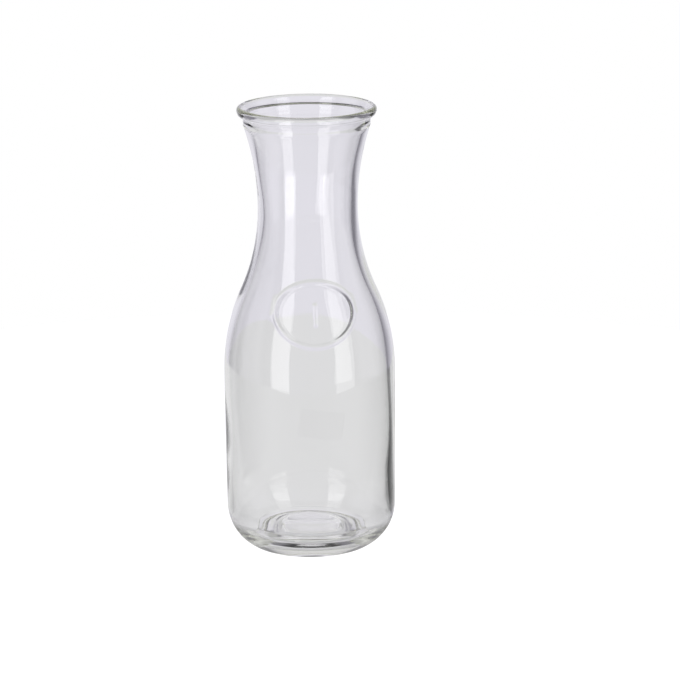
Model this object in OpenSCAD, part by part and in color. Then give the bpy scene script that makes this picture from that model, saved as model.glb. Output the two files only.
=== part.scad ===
// Glass wine carafe of about one litre: rounded base, long shoulder, waisted neck and a rolled
// lip, with an embossed oval medallion ring on the front and a small clear film label.
// Millimetres, +Z up. The origin is the middle of the base on the table, and the front is -Y.

/* [Body] */
// Height from the table to the top of the lip
height = 256; // [236:1:280]
// Widest outside diameter, where the shoulder starts
body_d = 98; // [88:1:110]
// Height of the widest ring above the table
shoulder_z = 103; // [80:1:120]
// Outside diameter at the top of the rounded heel
heel_d = 96.8; // [86:0.2:110]
// Thickness of the glass in the shoulder and neck
wall = 3.5; // [2.5:0.1:4.5]

/* [Neck] */
// Narrowest outside diameter of the neck
neck_d = 56.8; // [48:0.2:62]
// Height of the narrowest point of the neck
neck_z = 198; // [180:1:215]

/* [Lip] */
// Outside diameter of the collar under the lip
collar_d = 72.2; // [68:0.2:76]
// Height from the lower edge of the collar to the top of the lip
finish_h = 11.5; // [9:0.5:15]
// How far the collar's lower edge stands proud of the neck
collar_step = 0.3; // [0.2:0.1:0.8]
// Outside diameter of the rolled lip
lip_d = 79.4; // [77:0.2:84]
// Height of the rolled lip above the collar
lip_h = 5.9; // [5:0.1:7]

/* [Base] */
// Radius of the rounded heel
heel_r = 26.5; // [21:0.1:32]
// Outside diameter of the ring that the carafe stands on
foot_d = 65.6; // [58:0.2:72]
// Width of the flat ring that the carafe stands on
foot_w = 3.5; // [1.5:0.1:5.5]
// Height of the steep edge just inside the standing ring
push_edge_h = 0.6; // [0.3:0.1:1.4]
// Height of the hollow under the middle of the base
push_h = 9.1; // [7:0.1:10.1]
// Width of the slope round the hollow
push_w = 12.5; // [8:0.1:16]
// Thickness of the glass at the bottom of the body, where the inside corner starts
low_wall = 3.5; // [3.4:0.1:6]
// Radius of the round corner inside, from the wall down to the groove
bowl_r = 11.5; // [8:0.1:14]
// Height of the groove round the floor
groove_z = 7.4; // [6.4:0.1:8.9]
// Width of the slope from the groove up to the floor
rise_w = 3.7; // [1.7:0.1:6.7]
// Height of the floor's rim
floor_z = 13; // [12:0.1:15]
// Height of the floor's middle above its rim
floor_dome = 1.4; // [0:0.1:2.5]

/* [Mould dots] */
// Number of raised dots under the base
dot_n = 4; // [1:1:6]
// Diameter of a raised dot
dot_d = 1.6; // [1:0.1:2.4]
// How far a dot stands out of the glass
dot_h = 0.4; // [0.2:0.1:0.6]
// Distance between the middles of two dots
dot_pitch = 3.2; // [2.6:0.1:4]
// Distance of the row of dots behind the middle of the base
dot_row = 13; // [8:0.5:18]

/* [Medallion] */
// Width of the oval ring outside
medal_w = 47.4; // [36:0.2:56]
// Height of the oval ring outside, seen from the front
medal_tall = 38; // [30:0.5:44]
// Width of the ring's own band
medal_band = 3.6; // [2.4:0.1:5]
// How far the ring stands out of the glass
medal_h = 1.5; // [0.6:0.1:2]
// Height of the middle of the oval
medal_z = 144; // [134:0.5:152]
// Width of the upright bar inside the oval
bar_w = 2.8; // [2:0.1:4]
// Height of the bar
bar_tall = 13; // [9:0.5:17]
// How far the bar stands out of the glass
bar_h = 0.6; // [0.3:0.1:1.2]

/* [Label] */
// Width of the film
label_w = 25; // [18:0.5:32]
// Height of the film
label_tall = 16; // [10:0.5:22]
// Thickness of the film with its glue
label_t = 0.1; // [0.06:0.01:0.2]
// Radius of the film's corners
label_corner = 1.5; // [0.5:0.1:3]
// Height of the middle of the film
label_z = 82; // [68:0.5:88]
// Turn of the film round the body, to the right of the medallion
label_turn = 2.5; // [-20:0.5:20]
// Lean of the film, clockwise seen from the front
label_lean = 8; // [0:0.5:12]

/* [Hidden] */

body_r = body_d / 2;
heel_top_r = heel_d / 2;
neck_r = neck_d / 2;
collar_r = collar_d / 2;
lip_r = lip_d / 2;
foot_r = foot_d / 2;

// The shoulder and the neck are two equal arcs that meet in the middle of the slope
slope_w = body_r - neck_r;
slope_h = neck_z - shoulder_z;
slope_r = (slope_w * slope_w + slope_h * slope_h) / (4 * slope_w);
slope_a = asin(slope_h / (2 * slope_r));

// The flare is one arc, upright at the neck, that ends under the collar
collar_z = height - finish_h;
flare_w = collar_r - collar_step - neck_r;
flare_h = collar_z - neck_z;
flare_r = (flare_w * flare_w + flare_h * flare_h) / (2 * flare_w);
flare_a = asin(flare_h / flare_r);

// The lip's round top touches its outside, its top and the flare's inside
lip_in = neck_r + flare_r - lip_r;
lip_up = height - neck_z;
inner_flare_r = flare_r + wall;
lip_half = lip_in - lip_up + inner_flare_r;
top_r = sqrt(lip_half ^ 2 - lip_in ^ 2 - lip_up ^ 2 + inner_flare_r ^ 2) - lip_half;
top_z = height - top_r;
mouth_a = atan2(lip_up - top_r, lip_in + top_r);

// The heel is one arc, upright under the body, that ends at the standing ring
heel_x = heel_top_r - heel_r;
heel_a = acos((foot_r - heel_x) / heel_r);
heel_z = heel_r * sin(heel_a);

// The hollow under the base is flat in the middle and slopes down to the standing ring
push_r = foot_r - foot_w - push_edge_h;
push_flat_r = push_r - push_w;

// Inside, a round corner runs down into a groove, and the floor stands above the groove
groove_r = heel_top_r - low_wall - bowl_r;
floor_r = groove_r - rise_w;

// Arcs are drawn in steps of about this angle, and swells in this many steps
arc_step = 2.5;
corner_step = 15;
swell_steps = 12;
oval_steps = 72;

// Points of an arc about [cx, cz] from angle a0 to angle a1
function arc(cx, cz, r, a0, a1, step = arc_step) =
    let (n = max(2, ceil(abs(a1 - a0) / step)))
    [for (i = [0:n]) let (a = a0 + (a1 - a0) * i / n) [cx + r * cos(a), cz + r * sin(a)]];

// Height at radius r of a swell that is level in the middle and at its rim
function swell_z(r, rim_r, rim_z, mid_z) = rim_z + (mid_z - rim_z) * (1 + cos(180 * r / rim_r)) / 2;

// Points of a swell out to its rim, about the axis or round a flat of radius flat_r
function swell(rim_r, rim_z, mid_z, flat_r = 0) =
    [for (i = [0:swell_steps])
        let (r = rim_r * i / swell_steps)
        [flat_r + r, swell_z(r, rim_r, rim_z, mid_z)]];

function backwards(points) = [for (i = [len(points) - 1:-1:0]) points[i]];

// Outline of the shoulder and neck, moved outwards by out
function slope(out) = concat(
    arc(body_r - slope_r, shoulder_z, slope_r + out, 0, slope_a),
    arc(neck_r + slope_r, neck_z, slope_r - out, 180 + slope_a, 180));

// Outline of the flare from the neck up to angle a, moved outwards by out
function flare(out, a) = arc(neck_r + flare_r, neck_z, flare_r - out, 180, 180 - a);

// Lower side of the lip, a quarter of an oval from the collar out to the widest ring
lip_underside =
    [for (p = arc(0, 0, 1, -90, 0, corner_step / 2))
        [collar_r + (lip_r - collar_r) * p.x, top_z + (top_z - height + lip_h) * p.y]];

// Outside radius of the tapered body at height z
function body_r_at(z) = heel_top_r + (body_r - heel_top_r) * (z - heel_z) / (shoulder_z - heel_z);

// Outline of the glass from the hollow under the base, up the outside and down the inside
glass_outline = concat(
    [[0, push_h]],
    swell(push_w, push_edge_h, push_h, push_flat_r),
    [[foot_r - foot_w, 0]],
    arc(heel_x, heel_z, heel_r, -heel_a, 0),
    slope(0),
    flare(0, flare_a),
    [[collar_r, collar_z]],
    lip_underside,
    arc(lip_r - top_r, top_z, top_r, 0, 180 - mouth_a, corner_step / 2),
    backwards(flare(-wall, mouth_a)),
    backwards(slope(-wall)),
    arc(groove_r, groove_z + bowl_r, bowl_r, 0, -90, corner_step / 2),
    backwards(swell(rise_w, groove_z, floor_z, floor_r)),
    backwards(swell(floor_r, floor_z, floor_z + floor_dome)));

// An outline drawn on the XZ plane and carried to the front of the carafe
module to_front(z) {
    translate([0, 0, z])
        rotate([90, 0, 0])
            linear_extrude(height = body_d)
                children();
}

module oval(w, tall) {
    polygon([for (i = [0:oval_steps - 1])
        let (a = 360 * i / oval_steps)
        [w / 2 * cos(a), tall / 2 * sin(a)]]);
}

// Raised relief on the front that follows the shoulder, rooted in the glass by half the wall
module relief(out) {
    intersection() {
        rotate_extrude()
            polygon(concat(slope(out), backwards(slope(-wall / 2))));
        to_front(medal_z)
            children();
    }
}

module medallion() {
    relief(medal_h)
        difference() {
            oval(medal_w, medal_tall);
            oval(medal_w - 2 * medal_band, medal_tall - 2 * medal_band);
        }
    relief(bar_h)
        square([bar_w, bar_tall], center = true);
}

// Row of raised dots in the hollow under the base, as a mould leaves them
module mould_dots() {
    for (i = [0:dot_n - 1]) {
        x = (i - (dot_n - 1) / 2) * dot_pitch;
        down_slope = max(0, norm([x, dot_row]) - push_flat_r);
        ceiling_z = swell_z(down_slope, push_w, push_edge_h, push_h);
        translate([x, dot_row, ceiling_z - dot_h])
            cylinder(d = dot_d, h = 2 * dot_h, $fn = 32);
    }
}

module glass_carafe() {
    color("gainsboro", 0.6)
        union() {
            rotate_extrude()
                polygon(glass_outline);
            medallion();
            mould_dots();
        }
}

module rounded_plate(w, tall, corner) {
    x = w / 2 - corner;
    y = tall / 2 - corner;
    polygon(concat(
        arc(x, y, corner, 0, 90, corner_step),
        arc(-x, y, corner, 90, 180, corner_step),
        arc(-x, -y, corner, 180, 270, corner_step),
        arc(x, -y, corner, 270, 360, corner_step)));
}

// Clear film wrapped on the tapered body
module clear_label() {
    low = label_z - label_w;
    high = label_z + label_w;
    color("whitesmoke", 0.4)
        rotate([0, 0, label_turn])
            intersection() {
                rotate_extrude()
                    polygon([
                        [body_r_at(low), low],
                        [body_r_at(low) + label_t, low],
                        [body_r_at(high) + label_t, high],
                        [body_r_at(high), high]]);
                to_front(label_z)
                    rotate(-label_lean)
                        rounded_plate(label_w, label_tall, label_corner);
            }
}

glass_carafe();
clear_label();
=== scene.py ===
"""Clear glass wine carafe with a rolled lip, an embossed oval ring and a bare film label.

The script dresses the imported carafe: it works out the glass as one closed surface of revolution
with its moulded details, lays the clear film on it, and sets up a pale table, a soft studio and
the camera. Lengths are metres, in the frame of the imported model: +Z up, front towards -Y.
"""
from __future__ import annotations

import logging
import math
from dataclasses import dataclass, field
from enum import Enum

import bpy
import numpy as np
from mathutils import Matrix, Vector


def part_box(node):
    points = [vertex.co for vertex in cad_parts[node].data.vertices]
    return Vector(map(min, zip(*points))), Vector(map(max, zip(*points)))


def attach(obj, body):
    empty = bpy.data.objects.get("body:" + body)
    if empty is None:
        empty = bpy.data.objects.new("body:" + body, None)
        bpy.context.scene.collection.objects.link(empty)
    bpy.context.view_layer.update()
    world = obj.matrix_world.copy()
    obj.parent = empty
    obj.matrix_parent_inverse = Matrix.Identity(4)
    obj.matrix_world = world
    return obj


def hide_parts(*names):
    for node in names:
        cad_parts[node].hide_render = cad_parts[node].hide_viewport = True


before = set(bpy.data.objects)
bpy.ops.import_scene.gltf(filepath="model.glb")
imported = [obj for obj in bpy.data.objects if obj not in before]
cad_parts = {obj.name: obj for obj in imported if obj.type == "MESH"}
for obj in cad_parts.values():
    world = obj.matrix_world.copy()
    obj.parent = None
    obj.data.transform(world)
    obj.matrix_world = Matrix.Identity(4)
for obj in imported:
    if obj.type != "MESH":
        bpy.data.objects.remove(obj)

MM = 0.001
LOG = logging.getLogger("carafe")
BODY = "root"
BOUNCES = 48
HALF_TURN = 180.0
QUARTER = 90.0
TINY = 1e-9
BODY_R = 49.0 * MM

Points = np.ndarray
Stops = tuple[tuple[float, float], ...]
Tone = tuple[float, float, float]


class Side(Enum):
    """Which side of the camera a softbox stands on, as the sign of its turn."""

    LEFT = -1
    RIGHT = 1


def arc(centre: tuple[float, float], radius: float, start: float, stop: float, count: int) -> Points:
    """Gives points on an arc: centre plus radius times (cos a, sin a), a running evenly.

    Args:
        centre: Radius and height of the arc's centre in the half plane of the profile.
        radius: Radius of the arc.
        start: First angle in degrees.
        stop: Last angle in degrees.
        count: Number of points, both ends included.

    Returns:
        Array of shape (count, 2) of radius and height.
    """
    angle = np.radians(np.linspace(start, stop, count))
    return np.column_stack([centre[0] + radius * np.cos(angle), centre[1] + radius * np.sin(angle)])


def line(start: tuple[float, float], stop: tuple[float, float], count: int) -> Points:
    """Gives points on a straight line, start plus t times (stop minus start), t even from 0 to 1.

    Args:
        start: First point, as radius and height.
        stop: Last point, as radius and height.
        count: Number of points, both ends included.

    Returns:
        Array of shape (count, 2) of radius and height.
    """
    t = np.linspace(0.0, 1.0, count)[:, None]
    return np.asarray(start) * (1.0 - t) + np.asarray(stop) * t


def swell(rim_z: float, mid_z: float, r: np.ndarray) -> Points:
    """Gives a low swell: rim height plus rise times (1 + cos(pi t)) / 2, t even over the radii.

    Args:
        rim_z: Height at the last radius, where the swell is level.
        mid_z: Height at the first radius, where the swell is level too.
        r: Radii of the points, from the middle outwards.

    Returns:
        Array of shape (count, 2) of radius and height.
    """
    t = (r - r[0]) / (r[-1] - r[0])
    return np.column_stack([r, rim_z + (mid_z - rim_z) * (1.0 + np.cos(np.pi * t)) / 2.0])


def rounded(points: Points, radius: float, count: int) -> Points:
    """Rounds the middle corner of three points with an arc that is tangent to both sides.

    The arc's centre lies on the corner's bisector, at radius over the sine of half the corner.

    Args:
        points: Three points of shape (3, 2).
        radius: Radius of the rounding.
        count: Number of points on the arc.

    Returns:
        Array of shape (count, 2) that stands for the middle point.
    """
    before, corner, after = points
    u = (before - corner) / np.linalg.norm(before - corner)
    v = (after - corner) / np.linalg.norm(after - corner)
    half = math.acos(float(np.clip(u @ v, -1.0, 1.0))) / 2.0
    bisector = (u + v) / np.linalg.norm(u + v)
    centre = corner + bisector * radius / math.sin(half)
    first = corner + u * radius / math.tan(half) - centre
    last = corner + v * radius / math.tan(half) - centre
    a0 = math.atan2(first[1], first[0])
    turn = (math.atan2(last[1], last[0]) - a0 + math.pi) % (2.0 * math.pi) - math.pi
    angle = a0 + turn * np.linspace(0.0, 1.0, count)
    return centre + radius * np.column_stack([np.cos(angle), np.sin(angle)])


def outward_normals(profile: Points) -> Points:
    """Gives unit normals of a profile, its tangent turned clockwise by a right angle.

    Args:
        profile: Points of shape (n, 2) in the order in which the outside is on the right.

    Returns:
        Array of shape (n, 2).
    """
    tangent = np.gradient(profile, axis=0)
    normal = np.column_stack([tangent[:, 1], -tangent[:, 0]])
    return normal / np.linalg.norm(normal, axis=1, keepdims=True)


def mesh_object(
        name: str, verts: Points, faces: list[np.ndarray], finish: bpy.types.Material) -> bpy.types.Object:
    """Makes a smooth mesh object at the origin from whole arrays.

    Args:
        name: Name of the piece.
        verts: Vertex array of shape (n, 3).
        faces: Arrays of faces, each of shape (m, 3) or (m, 4).
        finish: Material of the piece.

    Returns:
        The new object, linked to the scene.
    """
    mesh = bpy.data.meshes.new(name)
    loops = np.concatenate([f.ravel() for f in faces]).astype(np.int32)
    sizes = np.concatenate([np.full(len(f), f.shape[1], np.int32) for f in faces])
    starts = np.concatenate([[0], np.cumsum(sizes)[:-1]]).astype(np.int32)
    mesh.vertices.add(len(verts))
    mesh.vertices.foreach_set("co", np.ascontiguousarray(verts, np.float32).ravel())
    mesh.loops.add(len(loops))
    mesh.loops.foreach_set("vertex_index", loops)
    mesh.polygons.add(len(sizes))
    mesh.polygons.foreach_set("loop_start", starts)
    mesh.polygons.foreach_set("use_smooth", np.ones(len(sizes), bool))
    mesh.update(calc_edges=True)
    mesh.validate()
    mesh.materials.append(finish)
    piece = bpy.data.objects.new(name, mesh)
    bpy.context.scene.collection.objects.link(piece)
    return piece


def ring_faces(rings: int, steps: int) -> np.ndarray:
    """Gives the quads between successive rings, each ring closed on itself.

    Args:
        rings: Number of rings.
        steps: Vertices in a ring.

    Returns:
        Array of shape ((rings - 1) * steps, 4) of vertex numbers.
    """
    low = np.arange(rings - 1)[:, None] * steps
    here = np.arange(steps)[None, :]
    there = (here + 1) % steps
    quads = np.stack([low + here, low + there, low + steps + there, low + steps + here], axis=-1)
    return quads.reshape(-1, 4)


def let_lamps_through(made: bpy.types.Material) -> None:
    """Lets the lamps' light pass straight through a clear material, so that its shadow is pale.

    Args:
        made: Material whose Principled shader is mixed with Transparent for shadow rays.
    """
    tree = made.node_tree
    path = tree.nodes.new("ShaderNodeLightPath")
    clear = tree.nodes.new("ShaderNodeBsdfTransparent")
    mix = tree.nodes.new("ShaderNodeMixShader")
    tree.links.new(path.outputs["Is Shadow Ray"], mix.inputs["Fac"])
    tree.links.new(tree.nodes["Principled BSDF"].outputs["BSDF"], mix.inputs[1])
    tree.links.new(clear.outputs["BSDF"], mix.inputs[2])
    tree.links.new(mix.outputs["Shader"], tree.nodes["Material Output"].inputs["Surface"])


@dataclass(frozen=True)
class Wave:
    """One slow wave of the inside of the glass: share times cos(around a + up z + shift)."""

    share: float
    around: float
    up: float
    shift: float


@dataclass(frozen=True)
class ClearGlass:
    """Fire-polished clear glass, faintly olive where it is thick, with a slight moulded ripple."""

    ior: float = 1.52
    tint: Tone = (1.0, 1.0, 1.0)
    depth_tint: Tone = (0.80, 0.82, 0.66)
    depth_density: float = 7.0
    ripple_scale: float = 55.0
    ripple_height: float = 0.05 * MM
    ripple_strength: float = 0.10
    ripple_detail: float = 1.0

    def material(self) -> bpy.types.Material:
        """Builds the node material.

        Returns:
            A Principled glass with volume absorption and a noise ripple on its normal.
        """
        made = bpy.data.materials.new("clear_glass")
        made.use_nodes = True
        tree = made.node_tree
        shader = tree.nodes["Principled BSDF"]
        shader.inputs["Base Color"].default_value = (*self.tint, 1.0)
        shader.inputs["Roughness"].default_value = 0.0
        shader.inputs["IOR"].default_value = self.ior
        shader.inputs["Transmission Weight"].default_value = 1.0
        place = tree.nodes.new("ShaderNodeTexCoord")
        ripple = tree.nodes.new("ShaderNodeTexNoise")
        ripple.inputs["Scale"].default_value = self.ripple_scale
        ripple.inputs["Detail"].default_value = self.ripple_detail
        bump = tree.nodes.new("ShaderNodeBump")
        bump.inputs["Strength"].default_value = self.ripple_strength
        bump.inputs["Distance"].default_value = self.ripple_height
        tree.links.new(place.outputs["Object"], ripple.inputs["Vector"])
        tree.links.new(ripple.outputs["Fac"], bump.inputs["Height"])
        tree.links.new(bump.outputs["Normal"], shader.inputs["Normal"])
        depth = tree.nodes.new("ShaderNodeVolumeAbsorption")
        depth.inputs["Color"].default_value = (*self.depth_tint, 1.0)
        depth.inputs["Density"].default_value = self.depth_density
        tree.links.new(depth.outputs["Volume"], tree.nodes["Material Output"].inputs["Volume"])
        let_lamps_through(made)
        return made


@dataclass(frozen=True)
class ClearFilm:
    """Clear label film, glued flat, so that it shows mostly by its edges and a soft sheen."""

    ior: float = 1.15
    roughness: float = 0.12
    tint: Tone = (0.985, 0.985, 0.985)
    grain_scale: float = 900.0
    grain_height: float = 0.01 * MM
    grain_strength: float = 0.2

    def material(self) -> bpy.types.Material:
        """Builds the node material.

        Returns:
            A thin clear Principled film with a fine grain on its normal.
        """
        made = bpy.data.materials.new("clear_film")
        made.use_nodes = True
        tree = made.node_tree
        shader = tree.nodes["Principled BSDF"]
        shader.inputs["Base Color"].default_value = (*self.tint, 1.0)
        shader.inputs["Roughness"].default_value = self.roughness
        shader.inputs["IOR"].default_value = self.ior
        shader.inputs["Transmission Weight"].default_value = 1.0
        place = tree.nodes.new("ShaderNodeTexCoord")
        grain = tree.nodes.new("ShaderNodeTexNoise")
        grain.inputs["Scale"].default_value = self.grain_scale
        bump = tree.nodes.new("ShaderNodeBump")
        bump.inputs["Distance"].default_value = self.grain_height
        bump.inputs["Strength"].default_value = self.grain_strength
        tree.links.new(place.outputs["Object"], grain.inputs["Vector"])
        tree.links.new(grain.outputs["Fac"], bump.inputs["Height"])
        tree.links.new(bump.outputs["Normal"], shader.inputs["Normal"])
        let_lamps_through(made)
        return made


@dataclass
class Glass:
    """The moulded glass: its profile, its moulded details and the mesh that they make."""

    height: float
    body_r: float
    shoulder_z: float = 103.0 * MM
    heel_top_r: float = 48.4 * MM
    wall: float = 3.5 * MM
    neck_r: float = 28.4 * MM
    neck_z: float = 198.0 * MM
    collar_r: float = 36.1 * MM
    finish_h: float = 11.5 * MM
    collar_step: float = 0.3 * MM
    lip_r: float = 39.7 * MM
    lip_h: float = 5.9 * MM
    lip_start: float = -80.0
    collar_start: float = 0.4
    collar_soft: tuple[float, float, float] = (0.15 * MM, 0.6 * MM, 2.0 * MM)
    lip_gap: float = 0.5 * MM
    heel_r: float = 26.5 * MM
    heel_trim: float = 1.5
    foot_r: float = 32.8 * MM
    foot_w: float = 3.5 * MM
    push_edge_h: float = 0.6 * MM
    push_h: float = 9.1 * MM
    punt_w: float = 12.5 * MM
    low_wall: float = 3.5 * MM
    bowl_r: float = 11.5 * MM
    low_z: float = 7.4 * MM
    rise_w: float = 3.7 * MM
    floor_z: float = 13.0 * MM
    floor_dome: float = 1.4 * MM
    dot_count: int = 4
    dot_r: float = 0.8 * MM
    dot_h: float = 0.4 * MM
    dot_pitch: float = 3.2 * MM
    dot_row: float = 13.0 * MM
    edge_r: float = 0.5 * MM
    medal_w: float = 47.4 * MM
    medal_tall: float = 38.0 * MM
    medal_band: float = 3.6 * MM
    medal_h: float = 1.5 * MM
    medal_z: float = 144.0 * MM
    bar_w: float = 2.8 * MM
    bar_tall: float = 13.0 * MM
    bar_h: float = 0.6 * MM
    wave: float = 0.35 * MM
    waves: tuple[Wave, ...] = (
        Wave(1.0, 2.0, 38.0, 0.6), Wave(0.7, 3.0, -61.0, 2.1), Wave(0.5, 5.0, 90.0, 4.0))
    wave_end: float = 22.0 * MM
    wave_fade: float = 25.0 * MM
    lopsided: float = 0.5 * MM
    dots_before: float = 2.0
    dots_after: float = 3.0
    edge_points: int = 5
    middle_points: int = 4
    dot_points: int = 18
    hollow_points: int = 26
    heel_points: int = 24
    body_points: int = 10
    inner_points: int = 22
    slope_low_points: int = 9
    slope_top_points: int = 17
    slope_points: int = 20
    flare_points: int = 24
    lip_low_points: int = 14
    lip_top_points: int = 12
    lip_in_points: int = 11
    bowl_points: int = 32
    rise_points: int = 22
    floor_points: int = 16
    ring_rows: int = 96
    front_turn: float = 33.0
    front_steps: int = 112
    other_steps: int = 116
    finish: ClearGlass = field(default_factory=ClearGlass)

    def slope(self, out: float, count: int) -> Points:
        """Gives the shoulder and neck: two equal arcs that meet in mid slope, moved outwards.

        Args:
            out: Distance by which the outline is moved outwards.
            count: Points on each arc.

        Returns:
            Points from the widest ring up to the narrowest.
        """
        width, rise = self.body_r - self.neck_r, self.neck_z - self.shoulder_z
        radius = (width**2 + rise**2) / (4.0 * width)
        lean = math.degrees(math.asin(rise / (2.0 * radius)))
        low = arc((self.body_r - radius, self.shoulder_z), radius + out, 0.0, lean, count)
        high = arc((self.neck_r + radius, self.neck_z), radius - out, HALF_TURN + lean, HALF_TURN, count)
        return np.vstack([low, high[1:]])

    def fine_slope(self) -> Points:
        """Gives the outside of the shoulder and neck, with its points close together at the oval ring.

        The heights are even in two spacings, and each radius is read off the two arcs.

        Returns:
            Points from the widest ring up to the narrowest.
        """
        reach = self.medal_tall / 2.0 + self.medal_band / 4.0
        low, high = self.medal_z - reach, self.medal_z + reach
        heights = np.concatenate([
            np.linspace(self.shoulder_z, low, self.slope_low_points)[:-1],
            np.linspace(low, high, self.ring_rows)[:-1],
            np.linspace(high, self.neck_z, self.slope_top_points)])
        width, rise = self.body_r - self.neck_r, self.neck_z - self.shoulder_z
        radius = (width**2 + rise**2) / (4.0 * width)
        below = self.body_r - radius + np.sqrt(radius**2 - (heights - self.shoulder_z) ** 2)
        above = self.neck_r + radius - np.sqrt(radius**2 - (heights - self.neck_z) ** 2)
        half_way = (self.shoulder_z + self.neck_z) / 2.0
        return np.column_stack([np.where(heights < half_way, below, above), heights])

    def flare_radius(self) -> float:
        """Gives the radius of the flare's arc, upright at the narrowest ring and ending under the collar."""
        width = self.collar_r - self.collar_step - self.neck_r
        rise = self.height - self.finish_h - self.neck_z
        return (width**2 + rise**2) / (2.0 * width)

    def flare(self, out: float, turn: float, count: int) -> Points:
        """Gives the flare of the neck: one arc, upright at the narrowest ring, moved outwards.

        Args:
            out: Distance by which the outline is moved outwards.
            turn: Angle of the arc in degrees.
            count: Number of points.

        Returns:
            Points from the narrowest ring upwards.
        """
        radius = self.flare_radius()
        return arc((self.neck_r + radius, self.neck_z), radius - out, HALF_TURN, HALF_TURN - turn, count)

    def lip_round(self) -> tuple[tuple[float, float], float, float]:
        """Gives the round top of the lip, which touches the top, the outside and the inside flare.

        With a and b the distances of the flare's centre from the lip's outside and top, and R the
        inside flare's radius, the circle's radius m solves (a + m)^2 + (b - m)^2 = (R - m)^2.

        Returns:
            Centre of the circle, its radius, and the turn in degrees at which the flare meets it.
        """
        radius = self.flare_radius()
        a = self.neck_r + radius - self.lip_r
        b = self.height - self.neck_z
        half = a - b + radius + self.wall
        m = math.sqrt(half**2 - a**2 - b**2 + (radius + self.wall) ** 2) - half
        return (self.lip_r - m, self.height - m), m, math.degrees(math.atan2(b - m, a + m))

    def heel(self) -> tuple[tuple[float, float], float]:
        """Gives the centre of the heel's arc and its angle below level at the standing ring."""
        heel_x = self.heel_top_r - self.heel_r
        turn = math.acos((self.foot_r - heel_x) / self.heel_r)
        return (heel_x, self.heel_r * math.sin(turn)), math.degrees(turn)

    def outside(self) -> Points:
        """Gives the outside profile, from the middle of the base up to the top of the lip."""
        push_r = self.foot_r - self.foot_w - self.push_edge_h
        near = self.dot_row - self.dots_before * self.dot_r
        far = self.dot_row + self.dots_after * self.dot_r
        radii = np.concatenate([
            np.linspace(0.0, near, self.middle_points)[:-1],
            np.linspace(near, far, self.dot_points)[:-1],
            np.linspace(far, push_r, self.hollow_points)])
        drop = np.clip((radii - push_r + self.punt_w) / self.punt_w, 0.0, 1.0)
        rise = (self.push_h - self.push_edge_h) * (1.0 + np.cos(np.pi * drop)) / 2.0
        under = np.column_stack([radii, self.push_edge_h + rise])
        (heel_x, heel_z), turn = self.heel()
        heel = arc((heel_x, heel_z), self.heel_r, -turn + self.heel_trim, 0.0, self.heel_points)
        inner_foot = np.array([self.foot_r - self.foot_w, 0.0])
        outer_foot = np.array([self.foot_r, 0.0])
        foot = np.vstack([
            rounded(np.array([under[-1], inner_foot, outer_foot]), self.edge_r, self.edge_points),
            rounded(np.array([inner_foot, outer_foot, heel[0]]), self.edge_r * 2.0, self.edge_points)])
        body = line(tuple(heel[-1]), (self.body_r, self.shoulder_z), self.body_points)[1:-1]
        slope = self.fine_slope()
        collar_z = self.height - self.finish_h
        flare_turn = math.degrees(math.asin((collar_z - self.neck_z) / self.flare_radius()))
        flare = self.flare(0.0, flare_turn, self.flare_points)[1:]
        lip_z = self.height - self.lip_h
        edge, full, straight = self.collar_soft
        collar = np.array([
            [self.collar_r - self.collar_start * self.collar_step, collar_z + edge],
            [self.collar_r, collar_z + full],
            [self.collar_r, collar_z + straight],
            [self.collar_r, lip_z - self.lip_gap]])
        centre, top_r, _ = self.lip_round()
        reach = (self.lip_r - self.collar_r, centre[1] - lip_z)
        oval = arc((0.0, 0.0), 1.0, self.lip_start, 0.0, self.lip_low_points)
        lower = np.array([self.collar_r, centre[1]]) + oval * reach
        upper = arc(centre, top_r, 0.0, QUARTER, self.lip_top_points)[1:]
        return np.vstack([under, foot, heel, body, slope, flare, collar, lower, upper])

    def inside(self) -> Points:
        """Gives the inside profile, from the top of the lip down to the middle of the floor."""
        top, top_r, meet = self.lip_round()
        lip = arc(top, top_r, QUARTER, HALF_TURN - meet, self.lip_in_points)[1:]
        flare = self.flare(-self.wall, meet, self.flare_points)[::-1][1:]
        slope = self.slope(-self.wall, self.slope_points)[::-1][1:]
        low_r = self.heel_top_r - self.low_wall - self.bowl_r
        bowl = arc((low_r, self.low_z + self.bowl_r), self.bowl_r, 0.0, -QUARTER, self.bowl_points)
        floor_r = low_r - self.rise_w
        rise = swell(self.low_z, self.floor_z, np.linspace(floor_r, low_r, self.rise_points))[::-1][1:]
        body = line(tuple(slope[-1]), tuple(bowl[0]), self.inner_points)[1:-1]
        floor_radii = np.linspace(0.0, floor_r, self.floor_points)
        floor = swell(self.floor_z, self.floor_z + self.floor_dome, floor_radii)[::-1][1:]
        return np.vstack([lip, flare, slope, body, bowl, rise, floor])

    def turns(self) -> np.ndarray:
        """Gives the angles round the axis, closer together across the front, where the ring is."""
        half = math.radians(self.front_turn)
        front = np.linspace(-half, half, self.front_steps, endpoint=False)
        rest = np.linspace(half, 2.0 * math.pi - half, self.other_steps, endpoint=False)
        return np.concatenate([front, rest]) - math.pi / 2.0

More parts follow.
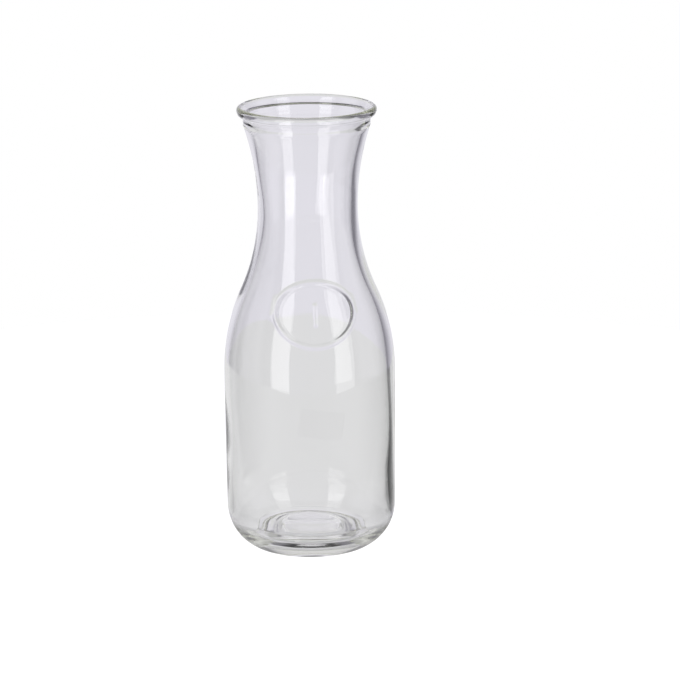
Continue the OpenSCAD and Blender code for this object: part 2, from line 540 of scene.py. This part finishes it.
    def medallion(self, radius: np.ndarray, height: np.ndarray, turn: np.ndarray) -> np.ndarray:
        """Gives how far the relief stands out: 1 - t^2 across the oval ring, 1 - t across the bar.

        The distance from the middle of the band is the ellipse's level less one, times the
        distance of the point from the oval's middle over that level. The bar's ends are level
        circles of its own width.

        Args:
            radius: Radius of each profile point.
            height: Height of each profile point.
            turn: Angles round the axis.

        Returns:
            Array of shape (points, angles).
        """
        across = radius[:, None] * np.cos(turn)[None, :]
        up = np.broadcast_to((height - self.medal_z)[:, None], across.shape)
        half_w = (self.medal_w - self.medal_band) / 2.0
        half_h = (self.medal_tall - self.medal_band) / 2.0
        level = np.hypot(across / half_w, up / half_h) + TINY
        away = (level - 1.0) * np.hypot(across, up) / level
        ring = np.clip(1.0 - (away / (self.medal_band / 2.0)) ** 2, 0.0, None)
        beyond = np.clip(np.abs(up) - (self.bar_tall - self.bar_w) / 2.0, 0.0, None)
        bar = np.clip(1.0 - np.hypot(across, beyond) / (self.bar_w / 2.0), 0.0, None)
        front = np.sin(turn)[None, :] < 0.0
        return (self.medal_h * ring + self.bar_h * bar) * front

    def dots(self, radius: np.ndarray, turn: np.ndarray) -> np.ndarray:
        """Gives how far the mould's dots stand out: (1 - (d / dot radius)^2)^2 near each, else zero.

        Args:
            radius: Radius of each point of the base.
            turn: Angles round the axis.

        Returns:
            Array of shape (points, angles).
        """
        across = radius[:, None] * np.cos(turn)[None, :]
        behind = radius[:, None] * np.sin(turn)[None, :] - self.dot_row
        lift = np.zeros(across.shape)
        for place in (np.arange(self.dot_count) - (self.dot_count - 1) / 2.0) * self.dot_pitch:
            near = np.clip(1.0 - ((across - place) ** 2 + behind**2) / self.dot_r**2, 0.0, None)
            lift += self.dot_h * near**2
        return lift

    def wavy(self, height: np.ndarray, turn: np.ndarray) -> np.ndarray:
        """Gives the uneven thickness that blowing leaves inside: a few slow waves round and up.

        Args:
            height: Height of each inside point.
            turn: Angles round the axis.

        Returns:
            Array of shape (points, angles), fading to nothing at the mouth and the floor.
        """
        up = height[:, None]
        a = turn[None, :]
        shares = sum(w.share for w in self.waves)
        waves = sum(w.share * np.cos(w.around * a + w.up * up + w.shift) for w in self.waves) / shares
        fade_top = np.clip((self.height - self.wave_end - up) / self.wave_fade, 0.0, 1.0)
        fade_low = np.clip((up - self.wave_end) / self.wave_fade, 0.0, 1.0)
        return (self.wave * waves + self.lopsided * np.cos(a)) * fade_top * fade_low

    def build(self) -> bpy.types.Object:
        """Builds the glass as one closed surface of revolution with its moulded details.

        A point is (r cos a, r sin a, z) for profile point (r, z) and turn a, moved along the
        profile's normal by the details' heights. The first and last rings shrink to poles.

        Returns:
            The piece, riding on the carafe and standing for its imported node.
        """
        outer, inner = self.outside(), self.inside()
        profile = np.vstack([outer, inner])
        normal = outward_normals(profile)
        turn = self.turns()
        lift = np.zeros((len(profile), len(turn)))
        wall = (outer[:, 1] > self.shoulder_z) & (outer[:, 1] < self.neck_z)
        marked = np.flatnonzero(wall)
        lift[marked] += self.medallion(profile[marked, 0], profile[marked, 1], turn)
        base = np.flatnonzero((outer[:, 0] < self.foot_r - self.foot_w) & (outer[:, 1] < self.push_h * 2.0))
        lift[base] += self.dots(profile[base, 0], turn)
        within = np.arange(len(outer), len(profile))
        lift[within] += self.wavy(profile[within, 1], turn)
        r = profile[:, :1] + normal[:, :1] * lift
        z = profile[:, 1:] + normal[:, 1:] * lift
        grid = np.stack([r * np.cos(turn), r * np.sin(turn), z], axis=-1)[1:-1]
        rings, steps = grid.shape[:2]
        verts = np.vstack([grid.reshape(-1, 3), [[0.0, 0.0, profile[0, 1]], [0.0, 0.0, profile[-1, 1]]]])
        first, last = rings * steps, rings * steps + 1
        here = np.arange(steps)
        there = (here + 1) % steps
        foot = np.column_stack([np.full(steps, first), there, here])
        top = (rings - 1) * steps
        floor = np.column_stack([np.full(steps, last), top + here, top + there])
        piece = mesh_object("glass", verts, [ring_faces(rings, steps), foot, floor], self.finish.material())
        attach(piece, BODY)
        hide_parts("glass_carafe")
        return piece


@dataclass
class Label:
    """The bare clear film on the front of the body."""

    glass: Glass
    width: float = 25.0 * MM
    tall: float = 16.0 * MM
    thick: float = 0.1 * MM
    gap: float = 0.02 * MM
    corner: float = 1.5 * MM
    middle_z: float = 82.0 * MM
    turn: float = 2.5
    lean: float = 8.0
    across_steps: int = 40
    up_steps: int = 26
    finish: ClearFilm = field(default_factory=ClearFilm)

    def body_r_at(self, z: np.ndarray) -> np.ndarray:
        """Gives the outside radius of the tapered body at each height."""
        glass = self.glass
        (_, heel_z), _ = glass.heel()
        share = (z - heel_z) / (glass.shoulder_z - heel_z)
        return glass.heel_top_r + (glass.body_r - glass.heel_top_r) * share

    def build(self) -> bpy.types.Object:
        """Builds the film: a grid of u and v on a rounded plate, wrapped on the tapered body.

        A row's half width is the plate's, less what its corner arcs take. The plate leans, and a
        point at x and z then goes to turn x / r at the body's radius r, plus the film's thickness
        on the outer layer.

        Returns:
            The piece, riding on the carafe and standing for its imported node.
        """
        u = np.linspace(-1.0, 1.0, self.across_steps)
        v = np.sin(np.linspace(-math.pi / 2.0, math.pi / 2.0, self.up_steps)) * self.tall / 2.0
        over = np.clip(np.abs(v) - (self.tall / 2.0 - self.corner), 0.0, self.corner)
        half = self.width / 2.0 - self.corner + np.sqrt(self.corner**2 - over**2)
        x = u[None, :] * half[:, None]
        y = np.broadcast_to(v[:, None], x.shape)
        lean = math.radians(-self.lean)
        across = x * math.cos(lean) - y * math.sin(lean)
        z = self.middle_z + x * math.sin(lean) + y * math.cos(lean)
        r = self.body_r_at(z)
        angle = np.arcsin(across / r) + math.radians(self.turn) - math.pi / 2.0
        layers = [
            np.stack([(r + out) * np.cos(angle), (r + out) * np.sin(angle), z], axis=-1).reshape(-1, 3)
            for out in (self.gap, self.thick)]
        verts = np.vstack(layers)
        rows, columns = x.shape
        count = rows * columns
        corner = (np.arange(rows - 1)[:, None] * columns + np.arange(columns - 1)[None, :]).ravel()
        quad = np.stack([corner, corner + 1, corner + columns + 1, corner + columns], axis=-1)
        rim = np.concatenate([
            np.arange(columns),
            np.arange(1, rows) * columns + columns - 1,
            (rows - 1) * columns + np.arange(columns - 2, -1, -1),
            np.arange(rows - 2, 0, -1) * columns])
        ahead = np.roll(rim, -1)
        edge = np.stack([rim, ahead, ahead + count, rim + count], axis=-1)
        piece = mesh_object("film", verts, [quad[:, ::-1], quad + count, edge], self.finish.material())
        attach(piece, BODY)
        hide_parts("clear_label")
        return piece


@dataclass
class Softbox:
    """A tall soft lamp in front of the carafe, to one side of the camera."""

    side: Side
    turn: float
    spread: float
    radiance: float
    distance: float = 1.0
    low: float = -0.35
    high: float = 0.95

    def place(self, camera_turn: float) -> bpy.types.Object:
        """Makes the lamp, facing the carafe.

        Args:
            camera_turn: Turn of the camera about Z in degrees, which the lamp's turn adds to.

        Returns:
            The lamp.
        """
        angle = math.radians(camera_turn + self.side.value * self.turn)
        width = 2.0 * self.distance * math.tan(math.radians(self.spread / 2.0))
        tall = self.high - self.low
        lamp = bpy.data.lights.new(f"softbox_{self.side.name.lower()}", "AREA")
        lamp.shape = "RECTANGLE"
        lamp.size, lamp.size_y = width, tall
        lamp.energy = self.radiance * math.pi * width * tall
        made = bpy.data.objects.new(lamp.name, lamp)
        back = Vector((math.sin(angle), -math.cos(angle), 0.0))
        made.location = back * self.distance + Vector((0.0, 0.0, (self.low + self.high) / 2.0))
        made.rotation_mode = "QUATERNION"
        made.rotation_quaternion = (-back).to_track_quat("-Z", "Y")
        made.visible_camera = False
        bpy.context.scene.collection.objects.link(made)
        return made


def turn_ramp(tree: bpy.types.NodeTree, place: bpy.types.NodeSocket, zero: float, stops: Stops,
              tone: Tone, shade: Tone) -> bpy.types.NodeSocket:
    """Adds a colour that goes by the turn about Z of a place or direction.

    The turn is atan2 of X and Y, so it is zero towards +Y and grows to the right seen from the front.

    Args:
        tree: Node tree to add to.
        place: Vector output to take the turn of.
        zero: Turn in degrees that counts as straight behind.
        stops: Pairs of turn in degrees and brightness.
        tone: Colour of brightness one.
        shade: Colour, before it is dimmed, that the darkest places lean to.

    Returns:
        The colour output.
    """
    spin = tree.nodes.new("ShaderNodeMapping")
    spin.inputs["Rotation"].default_value = (0.0, 0.0, math.radians(zero))
    part = tree.nodes.new("ShaderNodeSeparateXYZ")
    turn = tree.nodes.new("ShaderNodeMath")
    turn.operation = "ARCTAN2"
    scale = tree.nodes.new("ShaderNodeMapRange")
    scale.inputs["From Min"].default_value = -math.pi
    scale.inputs["From Max"].default_value = math.pi
    ramp = tree.nodes.new("ShaderNodeValToRGB")
    tree.links.new(place, spin.inputs["Vector"])
    tree.links.new(spin.outputs["Vector"], part.inputs["Vector"])
    tree.links.new(part.outputs["X"], turn.inputs[0])
    tree.links.new(part.outputs["Y"], turn.inputs[1])
    tree.links.new(turn.outputs["Value"], scale.inputs["Value"])
    tree.links.new(scale.outputs["Result"], ramp.inputs["Fac"])
    elements = ramp.color_ramp.elements
    while len(elements) < len(stops):
        elements.new(0.5)
    for element, (degrees, bright) in zip(elements, stops):
        element.position = (degrees + HALF_TURN) / (2.0 * HALF_TURN)
        mixed = (bright * (lit + (dim - lit) * (1.0 - bright)) for lit, dim in zip(tone, shade))
        element.color = (*mixed, 1.0)
    return ramp.outputs["Color"]


@dataclass
class Studio:
    """The pale table, the soft surroundings and the lamps."""

    camera_turn: float
    table_r: float = 0.50
    table_back: float = 0.08
    table_steps: int = 128
    table_grey: float = 0.80
    table_lift: float = 0.80
    table_tone: Tone = (1.0, 1.0, 1.015)
    near_r: tuple[float, float] = (0.09, 0.15)
    # Painted shade on the table near the foot, seen only through the glass and in reflections: pale behind,
    # darker at the sides and front.
    near_painted_shade_stops: Stops = (
        (-180.0, 0.54), (-120.0, 0.50), (-90.0, 0.44), (-62.0, 0.50), (-42.0, 0.74), (0.0, 0.76),
        (42.0, 0.72), (62.0, 0.46), (90.0, 0.40), (120.0, 0.48), (180.0, 0.54))
    # Painted light and shade further out on the table, seen only through the glass and in reflections: pale
    # behind, a dark painted band at the right, duller at the left and front.
    far_painted_shade_stops: Stops = (
        (-180.0, 0.45), (-130.0, 0.60), (-70.0, 0.48), (-54.0, 0.58), (-44.0, 0.76), (0.0, 0.76),
        (33.0, 0.76), (38.0, 0.20), (52.0, 0.08), (76.0, 0.08), (95.0, 0.32), (115.0, 0.55), (180.0, 0.45))
    backdrop: Tone = (0.995, 0.985, 1.04)
    shade: Tone = (0.97, 0.93, 1.12)
    world_stops: Stops = (
        (-180.0, 0.55), (-150.0, 0.55), (-125.0, 0.24), (-112.0, 0.24), (-104.0, 0.66), (-76.0, 0.66),
        (-68.0, 0.20), (-43.0, 0.20), (-36.0, 0.71), (-22.0, 0.80), (12.0, 0.80), (24.0, 0.69), (31.0, 0.45),
        (39.0, 0.20), (68.0, 0.20), (76.0, 0.66), (104.0, 0.66), (112.0, 0.24), (125.0, 0.24),
        (150.0, 0.55), (180.0, 0.55))
    dim_from: float = 40.0
    dim_to: float = 58.0
    dim_share: float = 0.05
    left_turn: float = 40.0
    right_turn: float = 48.0
    box_spread: float = 26.0
    radiance: float = 1.85

    def table(self) -> bpy.types.Object:
        """Makes the table top: a flat disc, white to the camera, that keeps the soft shadow.

        Through the glass and in reflections it glows with painted light and shade by the turn about Z: pale
        behind, with painted shade at its sides near the foot and at its front, and a dark painted band at
        its right further out.
        """
        angle = np.linspace(0.0, 2.0 * math.pi, self.table_steps, endpoint=False)
        rim = self.table_r * np.column_stack([np.cos(angle), np.sin(angle), np.zeros(self.table_steps)])
        rim[:, 1] += self.table_back
        made = bpy.data.materials.new("table_top")
        made.use_nodes = True
        tree = made.node_tree
        tree.nodes.clear()
        out = tree.nodes.new("ShaderNodeOutputMaterial")
        matt = tree.nodes.new("ShaderNodeBsdfDiffuse")
        matt.inputs["Color"].default_value = (self.table_grey, self.table_grey, self.table_grey, 1.0)
        glow = tree.nodes.new("ShaderNodeEmission")
        glow.inputs["Strength"].default_value = self.table_lift
        path = tree.nodes.new("ShaderNodeLightPath")
        lit = tree.nodes.new("ShaderNodeAddShader")
        seen = tree.nodes.new("ShaderNodeMixShader")
        tree.links.new(path.outputs["Is Camera Ray"], seen.inputs["Fac"])
        tree.links.new(matt.outputs["BSDF"], lit.inputs[0])
        tree.links.new(glow.outputs["Emission"], lit.inputs[1])
        tree.links.new(matt.outputs["BSDF"], seen.inputs[1])
        tree.links.new(lit.outputs["Shader"], seen.inputs[2])
        place = tree.nodes.new("ShaderNodeTexCoord")
        far = tree.nodes.new("ShaderNodeVectorMath")
        far.operation = "LENGTH"
        fade = tree.nodes.new("ShaderNodeMapRange")
        fade.interpolation_type = "SMOOTHSTEP"
        fade.inputs["From Min"].default_value, fade.inputs["From Max"].default_value = self.near_r
        tree.links.new(place.outputs["Object"], far.inputs[0])
        tree.links.new(far.outputs["Value"], fade.inputs["Value"])
        spread = tree.nodes.new("ShaderNodeMixShader")
        tree.links.new(fade.outputs["Result"], spread.inputs["Fac"])
        tone = self.table_tone
        # The table's painted glow for glossy and transmission rays: painted shade near the foot, painted
        # light and shade further out.
        for socket, stops in enumerate((self.near_painted_shade_stops, self.far_painted_shade_stops), start=1):
            painted_glow = tree.nodes.new("ShaderNodeEmission")
            colour = turn_ramp(tree, place.outputs["Object"], -self.camera_turn, stops, tone, tone)
            tree.links.new(colour, painted_glow.inputs["Color"])
            tree.links.new(painted_glow.outputs["Emission"], spread.inputs[socket])
        bent = tree.nodes.new("ShaderNodeMath")
        bent.operation = "MAXIMUM"
        mix = tree.nodes.new("ShaderNodeMixShader")
        tree.links.new(path.outputs["Is Glossy Ray"], bent.inputs[0])
        tree.links.new(path.outputs["Is Transmission Ray"], bent.inputs[1])
        tree.links.new(bent.outputs["Value"], mix.inputs["Fac"])
        tree.links.new(seen.outputs["Shader"], mix.inputs[1])
        tree.links.new(spread.outputs["Shader"], mix.inputs[2])
        tree.links.new(mix.outputs["Shader"], out.inputs["Surface"])
        table = mesh_object("table", rim, [np.arange(self.table_steps)[None, :]], made)
        return table

    def surroundings(self) -> None:
        """Sets the world: white to the camera, and otherwise a pale backdrop behind the carafe.

        The brightness goes by the turn about Z from straight behind and falls overhead. It is pale
        behind, at both sides and in front, with darker bands between that draw the glass's edges.
        """
        world = bpy.data.worlds.new("studio")
        bpy.context.scene.world = world
        world.use_nodes = True
        tree = world.node_tree
        tree.nodes.clear()
        out = tree.nodes.new("ShaderNodeOutputWorld")
        path = tree.nodes.new("ShaderNodeLightPath")
        place = tree.nodes.new("ShaderNodeTexCoord")
        way = place.outputs["Generated"]
        colour = turn_ramp(tree, way, -self.camera_turn, self.world_stops, self.backdrop, self.shade)
        part = tree.nodes.new("ShaderNodeSeparateXYZ")
        over = tree.nodes.new("ShaderNodeMapRange")
        over.interpolation_type = "SMOOTHSTEP"
        over.inputs["From Min"].default_value = math.sin(math.radians(self.dim_from))
        over.inputs["From Max"].default_value = math.sin(math.radians(self.dim_to))
        over.inputs["To Min"].default_value = 1.0
        over.inputs["To Max"].default_value = self.dim_share
        tree.links.new(way, part.inputs["Vector"])
        tree.links.new(part.outputs["Z"], over.inputs["Value"])
        seen = tree.nodes.new("ShaderNodeBackground")
        seen.inputs["Color"].default_value = (1.0, 1.0, 1.0, 1.0)
        room = tree.nodes.new("ShaderNodeBackground")
        tree.links.new(colour, room.inputs["Color"])
        tree.links.new(over.outputs["Result"], room.inputs["Strength"])
        mix = tree.nodes.new("ShaderNodeMixShader")
        tree.links.new(path.outputs["Is Camera Ray"], mix.inputs["Fac"])
        tree.links.new(room.outputs["Background"], mix.inputs[1])
        tree.links.new(seen.outputs["Background"], mix.inputs[2])
        tree.links.new(mix.outputs["Shader"], out.inputs["Surface"])

    def build(self) -> None:
        """Makes the table, the surroundings and both softboxes."""
        self.table()
        self.surroundings()
        for side, turn in ((Side.LEFT, self.left_turn), (Side.RIGHT, self.right_turn)):
            Softbox(side, turn, self.box_spread, self.radiance).place(self.camera_turn)


@dataclass
class Camera:
    """A long lens at the photograph's place, with the carafe left of the middle of the frame."""

    turn: float = -4.9
    elevation: float = 13.5
    distance: float = 2.352
    focal_px: float = 4111.0
    frame_px: float = 680.0
    target_z: float = 128.0 * MM
    target_px: tuple[float, float] = (309.4, 325.6)
    roll: float = 0.6
    reach: float = 50.0

    def build(self) -> bpy.types.Object:
        """Makes the camera. The view is turned from the target by the target's place in the frame.

        Returns:
            The camera, set as the scene's own.
        """
        a, e = math.radians(self.turn), math.radians(self.elevation)
        back = Vector((math.sin(a) * math.cos(e), -math.cos(a) * math.cos(e), math.sin(e)))
        right = Vector((math.cos(a), math.sin(a), 0.0))
        up = back.cross(right)
        middle = self.frame_px / 2.0
        forward = -back + right * ((middle - self.target_px[0]) / self.focal_px)
        forward += up * ((self.target_px[1] - middle) / self.focal_px)
        lens = bpy.data.cameras.new("camera")
        lens.lens = self.focal_px / self.frame_px * lens.sensor_width
        made = bpy.data.objects.new("camera", lens)
        made.location = Vector((0.0, 0.0, self.target_z)) + back * self.distance
        made.rotation_mode = "QUATERNION"
        level = forward.normalized().to_track_quat("-Z", "Y")
        made.rotation_quaternion = level @ Matrix.Rotation(math.radians(-self.roll), 3, "Z").to_quaternion()
        lens.clip_end = self.reach
        bpy.context.scene.collection.objects.link(made)
        bpy.context.scene.camera = made
        return made


def main() -> None:
    logging.basicConfig(level=logging.INFO, format="%(name)s: %(message)s")
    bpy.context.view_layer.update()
    low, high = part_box("glass_carafe")
    camera = Camera()
    camera.build()
    glass = Glass(height=high[2] - low[2], body_r=BODY_R)
    for piece in (glass.build(), Label(glass).build()):
        LOG.info("%s: %d faces", piece.name, len(piece.data.polygons))
    Studio(camera_turn=camera.turn).build()
    bpy.context.scene.view_settings.view_transform = "Standard"
    cycles = bpy.context.scene.cycles
    cycles.max_bounces = cycles.glossy_bounces = cycles.transmission_bounces = BOUNCES


if __name__ == "__main__":
    main()
